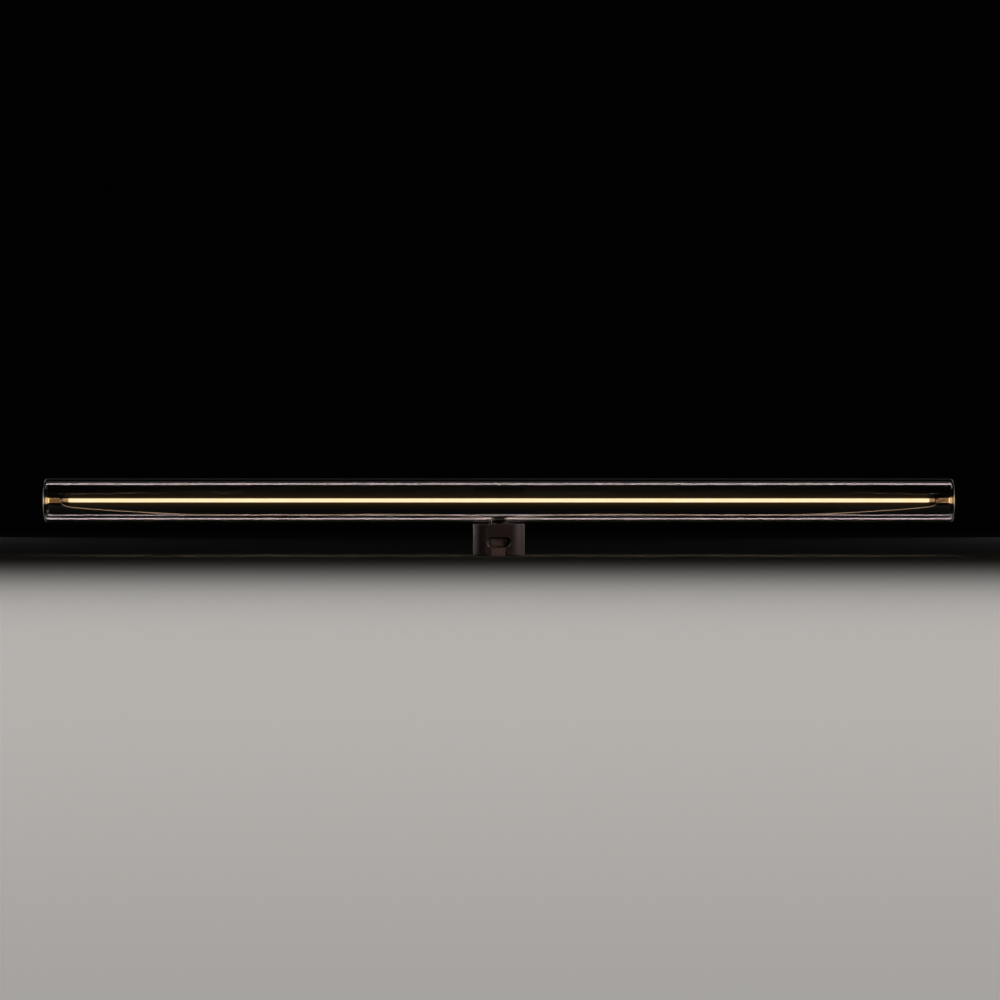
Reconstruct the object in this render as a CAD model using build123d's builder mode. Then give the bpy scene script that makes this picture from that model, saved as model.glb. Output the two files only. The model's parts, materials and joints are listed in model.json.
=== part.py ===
from build123d import *
import math
import os

# Linear LED tube lamp: one long filament in a clear glass tube, fed through a peg cap under its middle.
# Frame: origin at the centre of the cap's seat face, X along the tube, Z up from the cap to the tube.
# All sizes are in millimetres.

# Glass tube
tube_length = 500.0
tube_diameter = 24.0
tube_wall = 1.2
end_wall = 1.6
end_dome_radius = 72.0
end_shoulder_radius = 2.0

# Glass stem: the side neck that carries the lead wires, pinched flat at its foot, with a sealed exhaust tip
neck_diameter = 10.6
neck_wall = 0.9
neck_depth = 3.4
press_taper = 2.2
press_thickness = 3.2
press_height = 1.5
exhaust_tip_diameter = 2.4
exhaust_tip_length = 1.0

# Peg cap
cap_length = 28.2
cap_depth = 14.5
cap_height = 17.5
cap_wall = 1.6
cap_top = 1.5
cap_foot_chamfer = 0.8
cap_brow_chamfer = 0.4
tube_gap = 0.9
cement_gap = 0.3
cement_skirt = 0.8

# Contact pockets in the cap's two long sides, each with a lead-in ramp below it
pocket_length = 13.2
pocket_height = 5.5
pocket_depth = 3.6
pocket_base = 4.6
pocket_wall = 0.9
pocket_chamfer = 0.3
ramp_width = 9.0
ramp_depth = 0.7

# Bottom plate of the cap, with the forks that hold the driver board upright
plate_thickness = 1.4
plate_rim = 1.2
plate_clearance = 0.1
fork_inset = 1.4
fork_width = 1.2
fork_thickness = 0.8
fork_height = 0.8
fork_clearance = 0.1

# Contact strips
contact_length = 9.0
contact_height = 4.0
contact_thickness = 0.4
contact_chamfer = 0.8
tail_width = 2.0
tail_offset = -2.0
tail_clearance = 0.15

# Driver board and what is soldered to it
board_end_gap = 1.1
board_height = 7.4
board_thickness = 1.0
rectifier_length = 3.0
rectifier_height = 4.7
rectifier_thickness = 2.4
rectifier_pins = 2
rectifier_pin_pitch = 2.4
chip_length = 3.9
chip_height = 4.9
chip_thickness = 1.4
chip_edge_gap = 0.4
chip_pins = 4
chip_pin_pitch = 1.27
package_lift = 3.7
package_chamfer = 0.3
pin_reach = 0.6
pin_width = 0.4
pin_thickness = 0.2
fuse_length = 3.2
fuse_height = 1.6
fuse_thickness = 0.7
fuse_end = 0.5
fuse_end_step = 0.1
fuse_lift = 2.4
capacitor_diameter = 5.0
capacitor_height = 9.5
capacitor_gap = 0.4
capacitor_lift = 1.2
capacitor_lead_width = 0.5
capacitor_lead_lift = 0.5
capacitor_lead_lap = 0.5

# Filament and what holds its two ends
filament_inset = 13.8
filament_width = 2.3
filament_thickness = 1.5
carrier_width = 1.3
carrier_thickness = 0.5
carrier_lap = 1.4
led_length = 0.9
led_width = 0.4
led_thickness = 0.2
led_pitch = 12.0
ferrule_length = 3.0
ferrule_wall = 0.35
ferrule_chamfer = 0.25
rod_diameter = 2.6
rod_inset = 9.0
rod_flare_diameter = 4.6
rod_flare_length = 1.6
support_wire_diameter = 0.5
support_wire_set = 4.0

# Lead wires: each rises in the neck, bends over its rim and bows along the tube to one end of the filament
lead_diameter = 0.5
lead_spacing = 7.8
lead_lap = 0.8
lead_neck_bend = 0.7
lead_end_gap = 0.7
# How far along from neck to end, and how far down from the axis towards the glass, as shares of each
lead_bow = [
    (0.06, 0.80),
    (0.21, 0.70),
    (0.52, 0.78),
    (0.70, 0.74),
    (0.86, 0.56),
    (0.97, 0.38),
]
lead_neck_drop = 0.895
lead_end_drop = 0.27

# Worked out from the sizes above
tube_half = tube_length / 2
tube_radius = tube_diameter / 2
tube_bore = tube_radius - tube_wall
axis_height = cap_height + tube_gap + tube_radius
neck_radius = neck_diameter / 2
neck_floor = cap_height - neck_depth
press_top = neck_floor - press_taper
press_bottom = press_top - press_height
lead_radius = lead_diameter / 2
lead_x = lead_spacing / 2
pocket_middle = pocket_base + pocket_height / 2
pocket_floor = cap_depth / 2 - pocket_depth
block_length = pocket_length + 2 * pocket_wall
block_top = pocket_base + pocket_height + pocket_wall
block_face = pocket_floor - pocket_wall
tail_height = pocket_middle - (contact_height - contact_thickness) / 2
cavity_end = cap_length / 2 - cap_wall
capacitor_x = cavity_end - capacitor_gap - capacitor_diameter / 2
board_left = board_end_gap - cavity_end
board_right = capacitor_x - capacitor_diameter / 2 - capacitor_gap
board_front = lead_radius
board_back = board_front + board_thickness
board_top = plate_thickness + board_height
package_z = plate_thickness + package_lift
rectifier_x = board_left + pin_reach + rectifier_length / 2
chip_x = board_right - chip_edge_gap - pin_reach - chip_length / 2
fuse_x = (rectifier_x + rectifier_length / 2 + chip_x - chip_length / 2) / 2
lit_half = tube_half - filament_inset
rod_tip = tube_half - rod_inset
lead_end_x = rod_tip - lead_end_gap

tube_axis = Axis((0, 0, axis_height), (1, 0, 0))
axis_plane = Plane(origin=(0, 0, axis_height), x_dir=(1, 0, 0), z_dir=(0, -1, 0))


def cross_plane(x):
    """The plane across the tube at x, with its own x along Y and its own y up."""
    return Plane(origin=(x, 0, axis_height), x_dir=(0, 1, 0), z_dir=(1, 0, 0))


def side_plane(y, z):
    """The plane of a face that looks along -Y, with its own x along X and its own y up."""
    return Plane(origin=(0, y, z), x_dir=(1, 0, 0), z_dir=(0, -1, 0))


# Half section of the glass above the axis: slightly domed ends with rounded shoulders
dome_angle = math.degrees(math.asin(tube_radius / end_dome_radius))
with BuildSketch() as outer_outline:
    with BuildLine():
        dome = CenterArc((tube_half - end_dome_radius, 0), end_dome_radius, 0, dome_angle)
        Polyline(dome @ 1, (0, tube_radius), (0, 0), dome @ 0)
    make_face()
    mirror(about=Plane.YZ)
    fillet(outer_outline.vertices().group_by(Axis.Y)[-1], end_shoulder_radius)

# Half section of the hollow inside it, with flat ends that the rods are fused to
with BuildSketch() as inner_outline:
    Rectangle(2 * (tube_half - end_wall), tube_bore, align=(Align.CENTER, Align.MIN))
    chamfer(inner_outline.vertices().group_by(Axis.Y)[-1], end_shoulder_radius - tube_wall)

# Glass tube, with the round hole that the stem is fused into
with BuildPart() as glass_tube:
    with BuildSketch(axis_plane):
        add(outer_outline.sketch)
        add(inner_outline.sketch, mode=Mode.SUBTRACT)
    revolve(axis=tube_axis)
    with BuildSketch(Plane.XY.offset(cap_height)):
        Circle(neck_radius)
    extrude(amount=tube_radius, mode=Mode.SUBTRACT)

# Glass stem: neck up to the tube's inner face, pinched to a flat press that the two leads are sealed in
with BuildPart() as glass_stem:
    with BuildSketch(Plane.XY.offset(press_bottom)):
        Circle(neck_radius)
    extrude(amount=axis_height - press_bottom)
    with BuildSketch(Plane.YZ):
        with BuildLine():
            pinch = Polyline(
                (0, press_bottom),
                (press_thickness / 2, press_bottom),
                (press_thickness / 2, press_top),
                (neck_radius, neck_floor),
                (neck_radius, axis_height),
                (0, axis_height),
            )
            mirror(pinch, about=Plane.YZ)
        make_face()
    extrude(amount=neck_radius, both=True, mode=Mode.INTERSECT)
    with BuildSketch(Plane.XY.offset(neck_floor)):
        Circle(neck_radius - neck_wall)
    extrude(amount=axis_height - neck_floor, mode=Mode.SUBTRACT)
    with BuildSketch(axis_plane):
        add(inner_outline.sketch)
    revolve(axis=tube_axis, mode=Mode.SUBTRACT)
    with BuildSketch(Plane.XY.offset(press_bottom)):
        Circle(exhaust_tip_diameter / 2)
    extrude(amount=-exhaust_tip_length)
    with BuildSketch(Plane.XY.offset(press_bottom)):
        with GridLocations(lead_spacing, 0, 2, 1):
            Circle(lead_radius)
    extrude(amount=neck_floor - press_bottom, mode=Mode.SUBTRACT)

# End rod: a short glass rod fused to the inside of the tube's end, with the support wire set in its tip
rod_radius = rod_diameter / 2
rod_seat = tube_half - end_wall
with BuildPart() as end_rod_right:
    with BuildSketch(axis_plane):
        with BuildLine():
            Polyline(
                (rod_tip, 0),
                (rod_tip, rod_radius),
                (rod_seat - rod_flare_length, rod_radius),
                (rod_seat, rod_flare_diameter / 2),
                (rod_seat, 0),
                close=True,
            )
        make_face()
    revolve(axis=tube_axis)
    with BuildSketch(cross_plane(rod_tip)):
        Circle(support_wire_diameter / 2)
    extrude(amount=support_wire_set, mode=Mode.SUBTRACT)

with BuildPart() as end_rod_left:
    mirror(end_rod_right.part, about=Plane.YZ)

# Support wire: from the rod's tip to the ferrule on the filament's end
with BuildPart() as support_wire_right:
    with BuildSketch(cross_plane(lit_half + carrier_lap)):
        Circle(support_wire_diameter / 2)
    extrude(amount=rod_tip + support_wire_set - lit_half - carrier_lap)

with BuildPart() as support_wire_left:
    mirror(support_wire_right.part, about=Plane.YZ)

# Ferrule: a crimped metal sleeve that takes the carrier at one end and the support wire at the other
with BuildPart() as ferrule_right:
    with BuildSketch(cross_plane(lit_half)) as ferrule_section:
        Rectangle(carrier_thickness + 2 * ferrule_wall, carrier_width + 2 * ferrule_wall)
        chamfer(ferrule_section.vertices(), ferrule_chamfer)
    extrude(amount=ferrule_length)
    with BuildSketch(cross_plane(lit_half)):
        Rectangle(carrier_thickness, carrier_width)
    extrude(amount=carrier_lap, mode=Mode.SUBTRACT)
    with BuildSketch(cross_plane(lit_half + carrier_lap)):
        Circle(support_wire_diameter / 2)
    extrude(amount=ferrule_length - carrier_lap, mode=Mode.SUBTRACT)

with BuildPart() as ferrule_left:
    mirror(ferrule_right.part, about=Plane.YZ)

# Filament carrier: a flat strip with a row of light-emitting chips bonded to its front
carrier_half = lit_half + carrier_lap
led_count = int((2 * lit_half - led_length) // led_pitch) + 1
with BuildPart() as filament_carrier:
    with BuildSketch(cross_plane(-carrier_half)):
        Rectangle(carrier_thickness, carrier_width)
    extrude(amount=2 * carrier_half)
    with BuildSketch(side_plane(-carrier_thickness / 2, axis_height)):
        with GridLocations(led_pitch, 0, led_count, 1):
            Rectangle(led_length, led_width)
    extrude(amount=led_thickness)

# Filament coat: the phosphor-filled silicone around carrier and chips, which is the part that glows
with BuildPart() as filament_coat:
    with BuildSketch(cross_plane(-lit_half)):
        SlotOverall(filament_width, filament_thickness, rotation=90)
        Rectangle(carrier_thickness, carrier_width, mode=Mode.SUBTRACT)
        with Locations((-(carrier_thickness + led_thickness) / 2, 0)):
            Rectangle(led_thickness, led_width, mode=Mode.SUBTRACT)
    extrude(amount=2 * lit_half)

# Lead wire: from the driver board up through the press and neck, then along the tube to the support wire
lead_run = lead_end_x - lead_x
lead_neck_height = -lead_neck_drop * tube_bore
lead_points = [
    (lead_x, board_top - lead_lap - axis_height),
    (lead_x, lead_neck_height - lead_neck_bend),
    (lead_x + lead_neck_bend, lead_neck_height),
]
lead_points += [(lead_x + along * lead_run, -down * tube_bore) for along, down in lead_bow]
lead_points += [(lead_end_x, -lead_end_drop * tube_bore), (lead_end_x, -support_wire_diameter / 2)]
with BuildPart() as lead_wire_right:
    with BuildLine(axis_plane):
        Polyline(*lead_points)
    with BuildSketch(Plane(origin=(lead_x, 0, board_top - lead_lap))):
        Circle(lead_radius)
    sweep(transition=Transition.RIGHT)

with BuildPart() as lead_wire_left:
    mirror(lead_wire_right.part, about=Plane.YZ)

# Cap shell: a moulded oval peg, open below, with a contact pocket and its ramp in each long side
with BuildPart() as cap_shell:
    with BuildSketch():
        SlotOverall(cap_length, cap_depth)
    extrude(amount=cap_height)
    chamfer(cap_shell.edges().group_by(Axis.Z)[0], cap_foot_chamfer)
    chamfer(cap_shell.edges().group_by(Axis.Z)[-1], cap_brow_chamfer)
    with BuildSketch():
        SlotOverall(cap_length - 2 * plate_rim, cap_depth - 2 * plate_rim)
    extrude(amount=plate_thickness, mode=Mode.SUBTRACT)
    with BuildSketch(Plane.XY.offset(plate_thickness)):
        SlotOverall(cap_length - 2 * cap_wall, cap_depth - 2 * cap_wall)
        with Locations((0, cap_depth / 2), (0, -cap_depth / 2)):
            Rectangle(block_length, cap_depth - 2 * block_face, mode=Mode.SUBTRACT)
    extrude(amount=block_top - plate_thickness, mode=Mode.SUBTRACT)
    with BuildSketch(Plane.XY.offset(block_top)):
        SlotOverall(cap_length - 2 * cap_wall, cap_depth - 2 * cap_wall)
    extrude(amount=cap_height - cap_top - block_top, mode=Mode.SUBTRACT)
    with BuildSketch(Plane.XY.offset(cap_height)):
        Circle(neck_radius + cement_gap)
    extrude(amount=press_top - cap_height, mode=Mode.SUBTRACT)
    with BuildSketch(side_plane(-cap_depth / 2, pocket_middle)):
        SlotOverall(pocket_length + 2 * pocket_chamfer, pocket_height + 2 * pocket_chamfer)
    extrude(amount=-pocket_chamfer, taper=45, mode=Mode.SUBTRACT)
    with BuildSketch(side_plane(-cap_depth / 2, pocket_middle)):
        SlotOverall(pocket_length, pocket_height)
    extrude(amount=-pocket_depth, mode=Mode.SUBTRACT)
    with BuildSketch(Plane.YZ.offset(-ramp_width / 2)):
        with BuildLine():
            Polyline(
                (-cap_depth / 2, 0),
                (-cap_depth / 2 + ramp_depth, 0),
                (-cap_depth / 2, pocket_base),
                close=True,
            )
        make_face()
    extrude(amount=ramp_width, mode=Mode.SUBTRACT)
    with BuildSketch(side_plane(-pocket_floor, tail_height)):
        with Locations((tail_offset, 0)):
            Rectangle(tail_width + 2 * tail_clearance, contact_thickness + 2 * tail_clearance)
    extrude(amount=-pocket_wall, mode=Mode.SUBTRACT)
    split(bisect_by=Plane.XZ, keep=Keep.TOP)
    mirror(about=Plane.XZ)

# Bottom plate: closes the cap and is flush with its foot
with BuildPart() as cap_bottom:
    with BuildSketch():
        plate_inset = plate_rim + plate_clearance
        SlotOverall(cap_length - 2 * plate_inset, cap_depth - 2 * plate_inset)
    extrude(amount=plate_thickness)
    with BuildSketch(Plane.XY.offset(plate_thickness)):
        fork_offset = board_thickness + 2 * fork_clearance + fork_thickness
        board_middle = (board_front + board_back) / 2
        with Locations((board_left + fork_inset, board_middle), (board_right - fork_inset, board_middle)):
            with GridLocations(0, fork_offset, 1, 2):
                Rectangle(fork_width, fork_thickness)
    extrude(amount=fork_height)

# Cement ring: bonds the glass neck into the hole in the cap's top
with BuildPart() as neck_cement:
    with BuildSketch(Plane.XY.offset(cap_height - cap_top - cement_skirt)):
        Circle(neck_radius + cement_gap)
        Circle(neck_radius, mode=Mode.SUBTRACT)
    extrude(amount=cap_top + cement_skirt)


def contact_strip(floor, board_face):
    """A strip on the pocket floor at y = floor, with a tail bent inwards to the board's face."""
    outward = math.copysign(1, floor)
    with BuildPart() as strip:
        with BuildSketch(side_plane(floor, pocket_middle)) as blade:
            Rectangle(contact_length, contact_height)
            chamfer(blade.vertices(), contact_chamfer)
        extrude(amount=-outward * contact_thickness)
        with BuildSketch(side_plane(floor, tail_height)):
            with Locations((tail_offset, 0)):
                Rectangle(tail_width, contact_thickness)
        extrude(amount=floor - board_face)
    return strip.part


contact_front = contact_strip(-pocket_floor, board_front)
contact_back = contact_strip(pocket_floor, board_back)

# Driver board: stands on the bottom plate, behind the two lead wires
with BuildPart() as driver_board:
    with BuildSketch(side_plane(board_back, plate_thickness)):
        with Locations((board_left, 0)):
            Rectangle(board_right - board_left, board_height, align=(Align.MIN, Align.MIN))
    extrude(amount=board_thickness)


def pinned_package(x, length, height, thickness, pins, pitch):
    """A moulded chip package on the front of the board, with flat pins out of its two sides."""
    with BuildPart() as package:
        with BuildSketch(side_plane(board_front, package_z)):
            with Locations((x, 0)):
                Rectangle(length, height)
        extrude(amount=thickness)
        chamfer(package.faces().sort_by(Axis.Y)[0].edges(), package_chamfer)
        with BuildSketch(side_plane(board_front, package_z)):
            with Locations((x, 0)):
                with GridLocations(0, pitch, 1, pins):
                    Rectangle(length + 2 * pin_reach, pin_width)
        extrude(amount=pin_thickness)
    return package.part


driver_chip = pinned_package(
    chip_x, chip_length, chip_height, chip_thickness, chip_pins, chip_pin_pitch
)
bridge_rectifier = pinned_package(
    rectifier_x, rectifier_length, rectifier_height, rectifier_thickness, rectifier_pins, rectifier_pin_pitch
)

# Fuse resistor: a flat chip on the board, with a metal cap over each end
with BuildPart() as fuse_resistor:
    fuse_middle = fuse_length / 2 - fuse_end / 2
    with BuildSketch(side_plane(board_front, plate_thickness + fuse_lift)):
        with Locations((fuse_x, 0)):
            Rectangle(fuse_length, fuse_height)
    extrude(amount=fuse_thickness)
    with BuildSketch(side_plane(board_front, plate_thickness + fuse_lift)):
        with Locations((fuse_x - fuse_middle, 0), (fuse_x + fuse_middle, 0)):
            Rectangle(fuse_end, fuse_height + 2 * fuse_end_step)
    extrude(amount=fuse_thickness + fuse_end_step)

# Smoothing capacitor: a can in the round end of the cap, with a flattened lead bent to each face of the board
capacitor_base = plate_thickness + capacitor_lift
capacitor_lead_z = plate_thickness + capacitor_lead_lift
with BuildPart() as smoothing_capacitor:
    with BuildSketch(Plane(origin=(capacitor_x, 0, capacitor_base))):
        Circle(capacitor_diameter / 2)
    extrude(amount=capacitor_height)
    for lead_y in (board_front - capacitor_lead_width / 2, board_back + capacitor_lead_width / 2):
        with BuildLine(side_plane(lead_y, 0)):
            Polyline(
                (capacitor_x, capacitor_base),
                (capacitor_x, capacitor_lead_z),
                (board_right - capacitor_lead_lap, capacitor_lead_z),
            )
        with BuildSketch(Plane(origin=(capacitor_x, lead_y, capacitor_base))):
            Rectangle(capacitor_lead_width, capacitor_lead_width)
        sweep(transition=Transition.RIGHT)

pieces = {
    "glass_tube": glass_tube.part,
    "glass_stem": glass_stem.part,
    "end_rod_left": end_rod_left.part,
    "end_rod_right": end_rod_right.part,
    "support_wire_left": support_wire_left.part,
    "support_wire_right": support_wire_right.part,
    "ferrule_left": ferrule_left.part,
    "ferrule_right": ferrule_right.part,
    "filament_carrier": filament_carrier.part,
    "filament_coat": filament_coat.part,
    "lead_wire_left": lead_wire_left.part,
    "lead_wire_right": lead_wire_right.part,
    "cap_shell": cap_shell.part,
    "cap_bottom": cap_bottom.part,
    "neck_cement": neck_cement.part,
    "contact_front": contact_front,
    "contact_back": contact_back,
    "driver_board": driver_board.part,
    "bridge_rectifier": bridge_rectifier,
    "driver_chip": driver_chip,
    "fuse_resistor": fuse_resistor.part,
    "smoothing_capacitor": smoothing_capacitor.part,
}

os.makedirs("parts", exist_ok=True)
for name, piece in pieces.items():
    piece.label = name
    export_step(piece, f"parts/{name}.step")
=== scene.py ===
import json
import math

import bmesh
import bpy
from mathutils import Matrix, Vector

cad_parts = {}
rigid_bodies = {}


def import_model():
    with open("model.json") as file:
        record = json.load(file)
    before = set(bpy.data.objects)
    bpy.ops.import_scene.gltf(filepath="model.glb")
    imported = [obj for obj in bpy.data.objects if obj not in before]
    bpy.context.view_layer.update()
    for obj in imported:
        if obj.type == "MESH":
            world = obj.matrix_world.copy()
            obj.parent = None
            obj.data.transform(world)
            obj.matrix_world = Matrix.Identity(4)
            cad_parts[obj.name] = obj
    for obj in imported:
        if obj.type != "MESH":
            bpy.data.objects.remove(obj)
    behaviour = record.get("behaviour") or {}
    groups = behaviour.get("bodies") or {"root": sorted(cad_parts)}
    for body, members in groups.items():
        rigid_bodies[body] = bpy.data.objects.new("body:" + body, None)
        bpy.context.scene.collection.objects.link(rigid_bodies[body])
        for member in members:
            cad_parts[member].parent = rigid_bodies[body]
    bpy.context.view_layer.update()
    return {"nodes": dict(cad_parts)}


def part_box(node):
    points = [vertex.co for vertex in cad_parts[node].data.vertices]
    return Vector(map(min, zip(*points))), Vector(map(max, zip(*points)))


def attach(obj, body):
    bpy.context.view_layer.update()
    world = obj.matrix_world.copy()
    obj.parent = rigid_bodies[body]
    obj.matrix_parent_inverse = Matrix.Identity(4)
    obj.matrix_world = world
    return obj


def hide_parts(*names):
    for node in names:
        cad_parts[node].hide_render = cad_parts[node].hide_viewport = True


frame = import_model()


# Filament carrier: the metal strip on the tube's axis, with the light-emitting chips bonded to its front.
# It is cut from rolled aluminium, so fine roll lines run along it. Its bare ends go into the ferrules.
middle_range = (0.3, 0.7)


def feed(tree, socket, value):
    """Links an input to another socket, or sets it to a plain value."""
    if isinstance(value, bpy.types.NodeSocket):
        tree.links.new(value, socket)
    else:
        socket.default_value = value


def add_node(tree, kind, **inputs):
    """A new node, with its inputs fed by name."""
    node = tree.nodes.new(kind)
    for name, value in inputs.items():
        feed(tree, node.inputs[name.replace("_", " ").title()], value)
    return node


def multiplied(tree, first, second):
    """Two colours or vectors multiplied part by part."""
    node = tree.nodes.new("ShaderNodeVectorMath")
    node.operation = "MULTIPLY"
    for socket, value in zip(node.inputs, (first, second)):
        feed(tree, socket, value)
    return node.outputs[0]


def shader_group(name, inputs, outputs):
    """An empty shader group with named sockets; returns it, what it is given and what it puts out."""
    group = bpy.data.node_groups.new(name, "ShaderNodeTree")
    for label, kind in inputs.items():
        group.interface.new_socket(label, in_out="INPUT", socket_type=kind)
    for label, kind in outputs.items():
        group.interface.new_socket(label, in_out="OUTPUT", socket_type=kind)
    given = group.nodes.new("NodeGroupInput").outputs
    return group, given, group.nodes.new("NodeGroupOutput").inputs


def drawn_lines_group():
    """Fine lines along the direction in which metal or glass was drawn, as a value round one half."""
    group, given, out = shader_group(
        "drawn_lines",
        {"Coordinates": "NodeSocketVector", "Stretch": "NodeSocketVector", "Scale": "NodeSocketFloat"},
        {"Lines": "NodeSocketFloat"},
    )
    stretched = multiplied(group, given["Coordinates"], given["Stretch"])
    lines = add_node(group, "ShaderNodeTexNoise", vector=stretched, scale=given["Scale"], detail=4.0)
    group.links.new(lines.outputs[0], out["Lines"])
    return group


def new_material(name):
    """A material, its Principled shader and the object coordinates that its patterns read."""
    material = bpy.data.materials.new(name)
    material.use_nodes = True
    nodes = material.node_tree.nodes
    return material, nodes["Principled BSDF"], nodes.new("ShaderNodeTexCoord").outputs["Object"]


def place_group(material, group, **inputs):
    """Places a shader group in a material with its own values and returns its outputs."""
    node = material.node_tree.nodes.new("ShaderNodeGroup")
    node.node_tree = group
    for name, value in inputs.items():
        feed(material.node_tree, node.inputs[name.title()], value)
    return node.outputs


def colour_over(material, value, first, last):
    """A colour that runs from the first to the last as the value goes through its middle range."""
    ramp = add_node(material.node_tree, "ShaderNodeValToRGB", fac=value)
    for element, position, colour in zip(ramp.color_ramp.elements, middle_range, (first, last)):
        element.position = position
        element.color = (*colour, 1)
    return ramp.outputs["Color"]


def fine_relief(material, shader, height, depth):
    """Fine relief on the surface, from a height value and a depth in metres."""
    bump = add_node(material.node_tree, "ShaderNodeBump", height=height, distance=depth, strength=0.6)
    material.node_tree.links.new(bump.outputs[0], shader.inputs["Normal"])


def surface_from(material, shader, value, colours, roughness, depth):
    """Drives a shader's colour, roughness and relief from one pattern value."""
    tree = material.node_tree
    tree.links.new(colour_over(material, value, *colours), shader.inputs["Base Color"])
    gloss = add_node(
        tree,
        "ShaderNodeMapRange",
        value=value,
        from_min=middle_range[0],
        from_max=middle_range[1],
        to_min=roughness[0],
        to_max=roughness[1],
    )
    tree.links.new(gloss.outputs[0], shader.inputs["Roughness"])
    fine_relief(material, shader, value, depth)


drawn_lines = drawn_lines_group()


def drawn_metal(name, colours, roughness, scale=9000.0, stretch=(0.02, 1.0, 1.0), depth=0.00001):
    """Rolled or drawn metal: fine lines along the working direction in colour, gloss and relief."""
    material, shader, place = new_material(name)
    lines = place_group(material, drawn_lines, coordinates=place, stretch=stretch, scale=scale)["Lines"]
    surface_from(material, shader, lines, colours, roughness, depth)
    shader.inputs["Metallic"].default_value = 1.0
    return material


carrier_metal = drawn_metal(
    "carrier_metal", colours=((0.52, 0.51, 0.47), (0.8, 0.79, 0.75)), roughness=(0.22, 0.42)
)
frame["nodes"]["filament_carrier"].material_slots[0].material = carrier_metal


# Filament coat: silicone filled with yellow phosphor, laid as one bead round the carrier and its chips.
# It is the part that glows. The bead is even all along, and its ends round off against the ferrules.
def math_node(tree, operation, first, second=0.0, third=0.0):
    """The result of a sum, product, comparison or limit of up to three values."""
    node = tree.nodes.new("ShaderNodeMath")
    node.operation = operation
    for socket, value in zip(node.inputs, (first, second, third)):
        feed(tree, socket, value)
    return node.outputs[0]


def moulded_grain_group():
    """Fine grain over a broad soft mottle, as moulded, cast and filled surfaces have."""
    group, given, out = shader_group(
        "moulded_grain",
        {"Coordinates": "NodeSocketVector", "Scale": "NodeSocketFloat", "Mottle": "NodeSocketFloat"},
        {"Grain": "NodeSocketFloat"},
    )
    place = given["Coordinates"]
    fine = add_node(group, "ShaderNodeTexNoise", vector=place, scale=given["Scale"], detail=3.0)
    broad = add_node(group, "ShaderNodeTexNoise", vector=place, scale=given["Mottle"], detail=1.0)
    centred = add_node(group, "ShaderNodeMapRange", value=fine.outputs[0], to_min=-0.3, to_max=0.3)
    group.links.new(math_node(group, "ADD", centred.outputs[0], broad.outputs[0]), out["Grain"])
    return group


moulded_grain = moulded_grain_group()


def moulded_finish(name, colours, roughness, scale, mottle, depth):
    """A moulded, cast or filled material; returns it with its shader and its grain value."""
    material, shader, place = new_material(name)
    grain = place_group(material, moulded_grain, coordinates=place, scale=scale, mottle=mottle)["Grain"]
    surface_from(material, shader, grain, colours, roughness, depth)
    return material, shader, grain


def places(material):
    """The object coordinates of a surface point as separate X, Y and Z values."""
    tree = material.node_tree
    spot = tree.nodes.new("ShaderNodeTexCoord").outputs["Object"]
    return add_node(tree, "ShaderNodeSeparateXYZ", vector=spot).outputs


def away_from(tree, value, middle):
    """How far a value is from its middle, either way."""
    return math_node(tree, "ABSOLUTE", math_node(tree, "SUBTRACT", value, middle))


def fade(tree, value, start, end):
    """A mask that goes softly from one at the start value to nothing at the end value."""
    mask = add_node(
        tree, "ShaderNodeMapRange", value=value, from_min=start, from_max=end, to_min=1.0, to_max=0.0
    )
    mask.interpolation_type = "SMOOTHSTEP"
    return mask.outputs[0]


def mesh_from(form, name):
    """Keeps a finished form as a mesh."""
    mesh = bpy.data.meshes.new(name)
    form.to_mesh(mesh)
    form.free()
    return mesh


def lofted(loops):
    """A closed mesh through loops of points, with a flat face over the first and the last loop."""
    form = bmesh.new()
    rings = [[form.verts.new(point) for point in loop] for loop in loops]
    for lower, upper in zip(rings, rings[1:]):
        for i in range(len(lower)):
            j = (i + 1) % len(lower)
            form.faces.new((lower[i], lower[j], upper[j], upper[i]))
    form.faces.new(list(reversed(rings[0])))
    form.faces.new(rings[-1])
    bmesh.ops.recalc_face_normals(form, faces=form.faces)
    return mesh_from(form, "loft")


def obround(length, depth, arc_steps):
    """Points round a slot shape, counter-clockwise: two straight sides and two half-round ends."""
    radius = depth / 2
    reach = length / 2 - radius
    turns = [math.pi * (step / arc_steps - 0.5) for step in range(arc_steps + 1)]
    right = [(reach + radius * math.cos(turn), radius * math.sin(turn)) for turn in turns]
    return right + [(-u, -v) for u, v in right]


def lofted_obround(rings, place, arc_steps=24):
    """A closed mesh through obround rings of (height, length, depth).

    The place function turns a ring's (u, v, height) into a point.
    """
    loops = []
    for height, length, depth in rings:
        loops.append([place(u, v, height) for u, v in obround(length, depth, arc_steps)])
    return lofted(loops)


def rounding(radius, steps):
    """(rise, inset) pairs of a quarter round, from a flat face up to the wall."""
    turns = [math.pi / 2 * step / steps for step in range(steps + 1)]
    return [(radius * (1 - math.cos(turn)), radius * (1 - math.sin(turn))) for turn in turns]


def new_object(name, data):
    """An object in the scene, made from a mesh, a curve, a light or a camera."""
    item = bpy.data.objects.new(name, data)
    bpy.context.scene.collection.objects.link(item)
    return item


def new_piece(name, mesh, sharp_angle=35.0):
    """A piece of the lamp from a finished mesh, smooth up to the sharp angle."""
    mesh.name = name
    mesh.shade_smooth()
    mesh.set_sharp_from_angle(angle=math.radians(sharp_angle))
    return new_object(name, mesh)


def settle(piece, slot, *nodes):
    """The piece moves with the lamp and stands for the nodes, which are hidden. The slot is not used."""
    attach(piece, "root")
    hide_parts(*nodes)


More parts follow.
